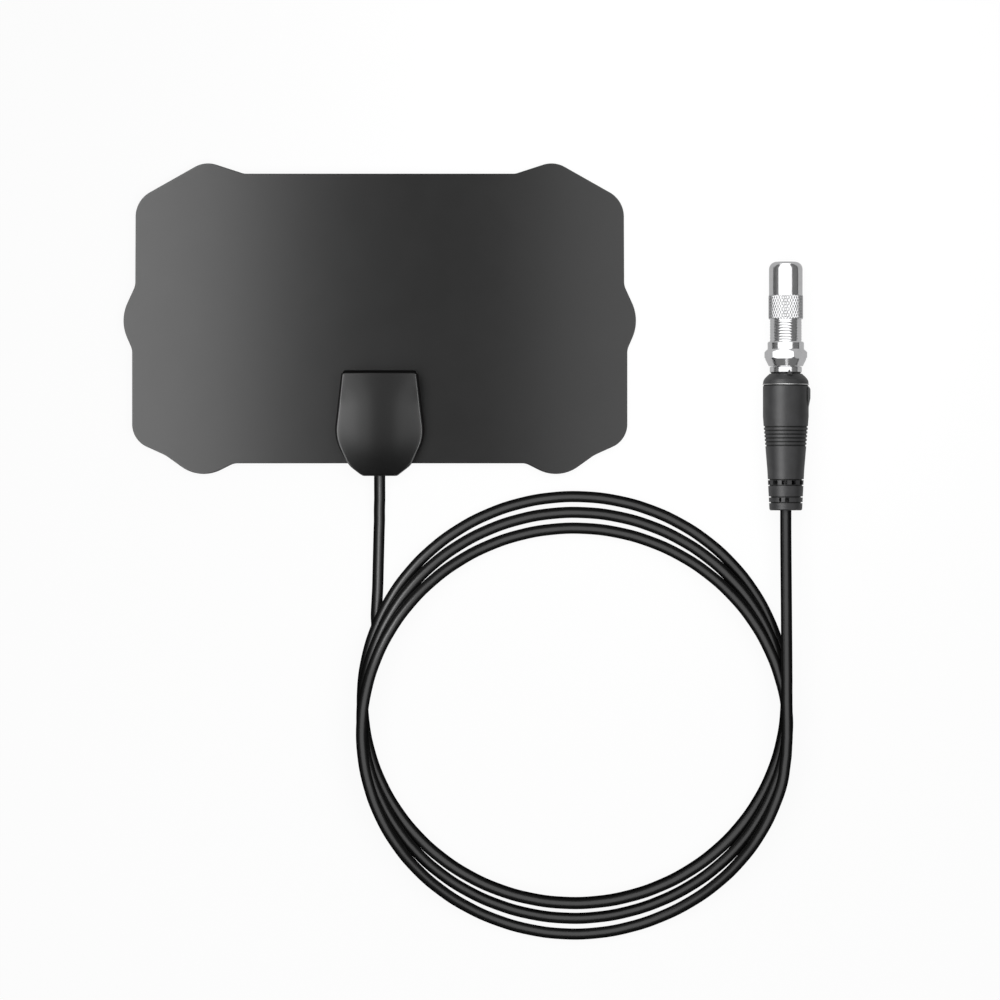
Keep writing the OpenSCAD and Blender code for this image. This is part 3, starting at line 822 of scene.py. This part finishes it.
@dataclass
class Housing:
    """The crowned cover that clamps the panel and lets the lead in."""

    top_y: float = -15.2
    end_y: float = -44.4
    panel_edge_y: float = -41.0
    crown_z: float = 8.6
    crown_r: float = 25.5
    fall_r: float = 70.0
    fall_y: float = -26.0
    flat_y: float = -25.0
    flatter: float = 0.28
    bottom_z: float = 1.6
    cover_z: float = 2.4
    chamfer: float = 0.42
    chamfer_steps: int = 5
    small_edge: float = 0.1
    gap: float = 0.65
    gap_corner: float = 0.4
    gap_floor_t: float = 0.03
    gap_under_body: float = 0.4
    ledge: float = 0.45
    ledge_t: float = 0.3
    rim_h: float = 0.4
    rim_w: float = 0.25
    rim_clear: float = 0.05
    corner_steps: int = 6
    # How far the rim and the gap's floor reach down into the ledge
    sunk: float = 0.05
    top_half: float = 10.4
    top_corner_r: float = 0.7
    wide_half: float = 12.6
    wide_y: float = -33.4
    wide_r: float = 12.0
    # Corner below the widest place, as x, y and radius
    lower: Corner = (8.95, -41.3, 7.5)
    foot_half: float = 4.9
    foot_r: float = 3.4
    spine: Flat = (-36.0, -22.0)
    rings_to_spine: int = 16

    def side(self, ledge: float = 0.0, gap: float = 0.0) -> list[Corner]:
        """Gives the right-hand corners of the body, or of the ledge round it."""
        return [(self.top_half + ledge, self.top_y + gap + ledge, self.top_corner_r + ledge),
                (self.wide_half + ledge, self.wide_y, self.wide_r), self.lower,
                (self.foot_half, self.end_y, self.foot_r)]

    def crown(self, x: float, y: float) -> float:
        """Finds the height of the crown.

        Args:
            x: Place across the housing.
            y: Place along it.

        Returns:
            The height in millimetres.
        """
        fall = max(0.0, self.fall_y - y)
        radius = self.crown_r - self.fall_r + math.sqrt(self.fall_r ** 2 - fall ** 2)
        flat = eased((y - self.flat_y) / (self.top_y - self.flat_y))
        across = x * (1 - self.flatter * flat)
        return self.crown_z - self.crown_r + math.sqrt(radius ** 2 - across ** 2)

    def _to_spine(self, p: Point, share: float) -> Flat:
        """Moves a point of the outline towards the middle line by a share from 1 down to 0."""
        y0 = min(max(p[1], self.spine[0]), self.spine[1])
        return p[0] * share, y0 + (p[1] - y0) * share

    def _body(self) -> bpy.types.Object:
        """Builds the crowned body with its chamfered edge.

        Returns:
            The body.
        """
        shape = Outline(self.side(), arc_deg=5, step=0.45)
        foot = [(x, y, self.cover_z if y > self.panel_edge_y else self.bottom_z)
                for x, y in shape.points]
        rings = [[(*self._to_spine(p, 0.0), self.cover_z) for p in foot], foot]
        for k in range(self.chamfer_steps + 1):
            t = math.radians(RIGHT_ANGLE * k / self.chamfer_steps)
            inset = self.chamfer * (1 - math.cos(t))
            drop = self.chamfer * (1 - math.sin(t))
            rings.append([(x, y, self.crown(x, y) - drop) for x, y in shape.moved(-inset)])
        edge = rings[-1]
        for k in range(1, self.rings_to_spine + 1):
            share = 1 - k / self.rings_to_spine
            places = [self._to_spine(p, share) for p in edge]
            rings.append([(x, y, self.crown(x, y)) for x, y in places])
        return Shop.skin("housing_body", rings, ends=Ends.OPEN, smooth_deg=40)

    def _ledge(self) -> bpy.types.Object:
        """Builds the ledge round the body's foot.

        Returns:
            The ledge.
        """
        shape = Outline(self.side(self.ledge, self.gap), arc_deg=6, step=4)
        top, edge = self.cover_z + self.ledge_t, self.small_edge
        return Shop.skin("housing_ledge", [
            shape.ring(self.cover_z), shape.ring(top - edge),
            shape.ring(top - edge * EDGE_MIDDLE, -edge * EDGE_MIDDLE), shape.ring(top, -edge)])

    def _rim(self) -> bpy.types.Object:
        """Builds the thin rim above the dark gap.

        Returns:
            The rim.
        """
        low = self.cover_z + self.ledge_t - self.sunk
        high = self.cover_z + self.ledge_t + self.rim_h
        half, corner = self.top_half + self.ledge, self.top_corner_r + self.ledge
        inner = corner - self.rim_w
        cx, cy = half - corner, self.top_y + self.gap + self.ledge - corner
        foot_y = self.top_y + self.rim_clear
        path: list[tuple[Flat, Flat]] = [((half, foot_y), (half - self.rim_w, foot_y))]
        for k in range(self.corner_steps + 1):
            t = math.radians(RIGHT_ANGLE * k / self.corner_steps)
            path.append(((cx + corner * math.cos(t), cy + corner * math.sin(t)),
                         (cx + inner * math.cos(t), cy + inner * math.sin(t))))
        left = [((-ox, oy), (-ix, iy)) for (ox, oy), (ix, iy) in reversed(path)]
        edge = self.small_edge
        rings = []
        for (ox, oy), (ix, iy) in path + left:
            across = Vector((ox - ix, oy - iy)).normalized() * edge
            rings.append([(ox, oy, low), (ox, oy, high - edge),
                          (ox - EDGE_MIDDLE * across.x, oy - EDGE_MIDDLE * across.y,
                           high - EDGE_MIDDLE * edge),
                          (ox - across.x, oy - across.y, high),
                          (ix + across.x, iy + across.y, high), (ix, iy, high - edge),
                          (ix, iy, low)])
        return Shop.skin("housing_rim", rings)

    def _gap_floor(self) -> bpy.types.Object:
        """Builds the floor of the dark gap, whose near-black finish is painted shade.

        Returns:
            The gap's floor.
        """
        half = self.top_half + self.ledge - self.rim_w
        z, cut = self.cover_z + self.ledge_t, self.gap_corner
        low_y = self.top_y - self.gap_under_body
        high_y = self.top_y + self.gap + self.ledge - self.rim_w
        corners = [(half, low_y), (half, high_y - cut), (half - cut, high_y),
                   (-half + cut, high_y), (-half, high_y - cut), (-half, low_y)]
        return Shop.skin("gap_floor", [[(x, y, z - self.sunk) for x, y in corners],
                                       [(x, y, z + self.gap_floor_t) for x, y in corners]])

    def build(self) -> None:
        """Builds the housing's pieces and dresses its CAD nodes."""
        # The ledge and the gap's floor take the near-black finish as painted shade along the
        # body's foot and in the gap
        for piece, finish in ((self._body(), PLASTIC), (self._ledge(), SHADOW_GAP),
                              (self._rim(), PLASTIC), (self._gap_floor(), SHADOW_GAP)):
            Shop.dress(piece, finish, Slot.HOUSING, Receives.HOUSING)
            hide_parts("front_cover")
        Shop.dress_node("rear_cover", PLASTIC, Receives.HOUSING)
        for name, finish in (("circuit_board", LAMINATE), ("foil_eyelets", TINNED),
                             ("balun_core", FERRITE), ("balun_winding", COPPER),
                             ("braid_clip", CLIP), ("lead_braid", BRAID),
                             ("lead_dielectric", POLYMER), ("lead_conductor", COPPER)):
            Shop.dress_node(name, finish, Receives.HOUSING)


# Plug


@dataclass
class Plug:
    """The plug on the far end of the lead, with stations counted from its tip."""

    axis_x: float = 115.5
    axis_z: float = 6.5
    tip_y: float = 16.4
    shell_r: float = 4.75
    nose_r: float = 2.1
    nose_steps: int = 10
    nose_land: float = 0.1
    socket_r: float = 3.0
    # Extra rings next to the nose and to the shell's end keep their shading flat
    socket_stations: tuple[float, ...] = (8.0, 4.0, 1.0)
    socket_end: float = 0.12
    shell_start: float = 0.2
    shell_ends: tuple[float, float] = (0.3, 0.05)
    knurl_s: float = 9.4
    knurl_r: float = 4.93
    knurl_depth: float = 0.17
    knurl_groove: float = 0.6
    knurl_count: int = 38
    knurl_pitch: float = 1.7
    knurl_run_out: float = 0.4
    knurl_steps: int = 64
    # Small step that keeps two surfaces apart
    hair: float = 0.02
    thread_s: float = 16.3
    thread_r: float = 4.5
    thread_pitch: float = 0.794
    thread_depth: float = 0.13
    thread_crest: float = 0.7
    thread_run_in: float = 0.5
    thread_length: float = 7.6
    thread_steps: int = 76
    end_s: float = 27.9
    bore_r: float = 2.6
    around: int = 304
    boot_s: float = 31.8
    boot_r: float = 6.5
    lip_s: float = 34.85
    lip_r: float = 0.13
    lip_sides: int = 10
    groove_depth: float = 0.2
    nib_x: float = 0.75
    nib_half: float = 0.75
    nib_top_half: float = 0.7
    nib_front: float = 1.15
    nib_back: float = 0.3
    nib_low: float = 4.9
    nib_high: float = 5.35
    nib_slope: float = 0.15
    # Grooves of the boot: station, width and radius of the floor that shows
    grooves: tuple[Point, ...] = (
        (35.1, 0.4, 6.3), *((46.9 + 1.06 * i, 0.45, 6.0 - 0.09 * i) for i in range(6)),
        (61.9, 0.3, 4.62), (63.5, 0.3, 4.62), (66.8, 0.3, 4.3), (68.4, 0.3, 4.3))

    @staticmethod
    def _plain(r: float) -> Radius:
        """Gives the same radius all round."""
        return lambda _t: r

    def ring(self, station: float, radius: Radius) -> list[Point]:
        """Makes a ring round the plug's axis.

        Args:
            station: Place along the axis.
            radius: Radius at an angle from the top, in radians.

        Returns:
            The ring's points.
        """
        made = []
        for k in range(self.around):
            t = math.tau * k / self.around
            r = radius(t)
            made.append((self.axis_x + r * math.sin(t), self.tip_y - station,
                         self.axis_z + r * math.cos(t)))
        return made

    def _knurl(self, station: float) -> Radius:
        """Gives the shape of the diamond knurling at a station.

        Args:
            station: Place along the axis.

        Returns:
            The radius at an angle from the top.
        """
        slope = (station - self.knurl_s) / self.knurl_pitch
        ends = min(1.0, (station - self.knurl_s) / self.knurl_run_out,
                   (self.thread_s - station) / self.knurl_run_out)

        def radius(t: float) -> float:
            """Cuts two sets of slanting grooves that cross.

            Args:
                t: Angle from the top, in radians.

            Returns:
                The radius there.
            """
            turns = self.knurl_count * t / math.tau
            ridges = [abs((turns + side * slope) % 1.0 - 0.5) * 2 for side in (-1, 1)]
            flank = min(1.0, min(ridges) / self.knurl_groove)
            return self.knurl_r - self.hair - self.knurl_depth * (1 - flank * ends)
        return radius

    def _thread(self, station: float) -> Radius:
        """Gives the shape of the thread at a station.

        Args:
            station: Place along the axis.

        Returns:
            The radius at an angle from the top.
        """
        along = (station - self.thread_s) / self.thread_pitch
        start = min(1.0, (station - self.thread_s) / self.thread_run_in)

        def radius(t: float) -> float:
            """Winds one groove round the axis."""
            ridge = min(1.0, abs((along - t / math.tau) % 1.0 - 0.5) * 2 / self.thread_crest)
            return self.thread_r - self.thread_depth * (1 - ridge * start)
        return radius

    def _adapter(self) -> bpy.types.Object:
        """Builds the nose, the knurled band and the thread with its clear bore.

        Returns:
            The adapter.
        """
        centre_r = self.shell_r - self.nose_r
        first = math.acos((self.socket_r + self.nose_land - centre_r) / self.nose_r)
        lip = self.nose_r * (1 - math.sin(first))
        rings = [self.ring(s, self._plain(self.socket_r))
                 for s in (*self.socket_stations, lip + self.socket_end)]
        for k in range(self.nose_steps + 1):
            t = first * (1 - k / self.nose_steps)
            rings.append(self.ring(self.nose_r * (1 - math.sin(t)),
                                   self._plain(centre_r + self.nose_r * math.cos(t))))
        for s in (self.nose_r + self.shell_start, *(self.knurl_s - d for d in self.shell_ends)):
            rings.append(self.ring(s, self._plain(self.shell_r)))
        length = self.thread_s - self.knurl_s
        for k in range(self.knurl_steps + 1):
            s = self.knurl_s + length * k / self.knurl_steps
            rings.append(self.ring(s, self._knurl(s)))
        for k in range(self.thread_steps + 1):
            s = self.thread_s + self.hair + self.thread_length * k / self.thread_steps
            rings.append(self.ring(s, self._thread(s)))
        for s, r in ((self.end_s, self.thread_r - self.thread_depth), (self.end_s, self.bore_r),
                     (self.knurl_s, self.bore_r), (self.knurl_s, self.socket_r)):
            rings.append(self.ring(s, self._plain(r)))
        return Shop.skin("plug_adapter", rings, ends=Ends.JOINED, smooth_deg=38)

    def _above_table(self, r: float) -> Radius:
        """Gives the same radius all round, but none that reaches below the table.

        Args:
            r: The radius.

        Returns:
            The radius at an angle from the top.
        """
        def radius(t: float) -> float:
            """Cuts the radius short where the table is nearer."""
            down = -math.cos(t)
            return min(r, self.axis_z / down) if down > 0 else r
        return radius

    def _lip(self) -> bpy.types.Object:
        """Builds the thin moulded lip behind the boot's shoulder, which takes a bright metal
        finish as a painted highlight line.

        Returns:
            The lip.
        """
        rings = []
        for k in range(self.lip_sides):
            t = math.tau * k / self.lip_sides
            r = self.boot_r - self.hair + self.lip_r * math.cos(t)
            rings.append(self.ring(self.lip_s + self.lip_r * math.sin(t), self._above_table(r)))
        return Shop.skin("boot_lip", rings, ends=Ends.JOINED, smooth_deg=60)

    def _groove_floors(self) -> list[bpy.types.Object]:
        """Builds the floors of the boot's grooves, in a dark finish that paints the shade in
        them.

        Returns:
            The floors.
        """
        made = []
        for k, (station, width, r) in enumerate(self.grooves):
            half, low = width / 2 - self.hair, r - self.groove_depth
            corners = ((-half, r), (half, r), (half, low), (-half, low))
            rings = [self.ring(station + ds, self._plain(at)) for ds, at in corners]
            floor = Shop.skin(f"boot_groove_{k + 1}", rings, ends=Ends.JOINED)
            made.append(Shop.dress(floor, PAINTED_GROOVE_SHADE, Slot.BOOT, Receives.BOOT))
        return made

    def _nib(self) -> bpy.types.Object:
        """Builds the small moulding nib at the front of the boot.

        Returns:
            The nib.
        """
        x, front = self.axis_x + self.nib_x, self.tip_y - self.boot_s + self.nib_front
        back = self.tip_y - self.boot_s - self.nib_back
        low, high = self.axis_z + self.nib_low, self.axis_z + self.nib_high
        return Shop.skin("boot_nib", [
            [(x - self.nib_half, back, low), (x, front, low), (x + self.nib_half, back, low)],
            [(x - self.nib_top_half, back, high),
             (x, front - self.nib_slope, high - self.nib_slope),
             (x + self.nib_top_half, back, high)]])

    def build(self) -> list[bpy.types.Object]:
        """Builds the plug.

        Returns:
            Every piece that the lead carries.
        """
        adapter = Shop.dress(self._adapter(), NICKEL, Slot.NICKEL, Receives.PLUG)
        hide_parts("adapter_body")
        # The moulded lip takes a bright metal finish as a painted highlight line
        lip = Shop.dress(self._lip(), LIP_HIGHLIGHT, Slot.BOOT, Receives.PLUG)
        nib = Shop.dress(self._nib(), RUBBER, Slot.BOOT, Receives.BOOT)
        boot = Shop.dress_node("plug_boot", RUBBER, Receives.BOOT)
        nodes = [Shop.dress_node(name, finish, Receives.PLUG) for name, finish in (
            ("crimp_sleeve", NICKEL), ("connector_body", NICKEL),
            ("coupling_nut", NICKEL), ("adapter_insulator", POLYMER), ("adapter_pin", TINNED),
            ("plug_dielectric", POLYMER), ("plug_conductor", COPPER))]
        return [adapter, lip, nib, boot, *self._groove_floors(), *nodes]


def main() -> None:
    """Builds the studio, the lead, the panel, the housing and the plug."""
    logging.basicConfig(level=logging.INFO, format="%(message)s")
    Studio().build()
    lead = Lead()
    cord = lead.build()
    Panel().build()
    Housing().build()
    Plug().build()
    for box in SOFT_BOXES:
        box.build()


if __name__ == "__main__":
    main()
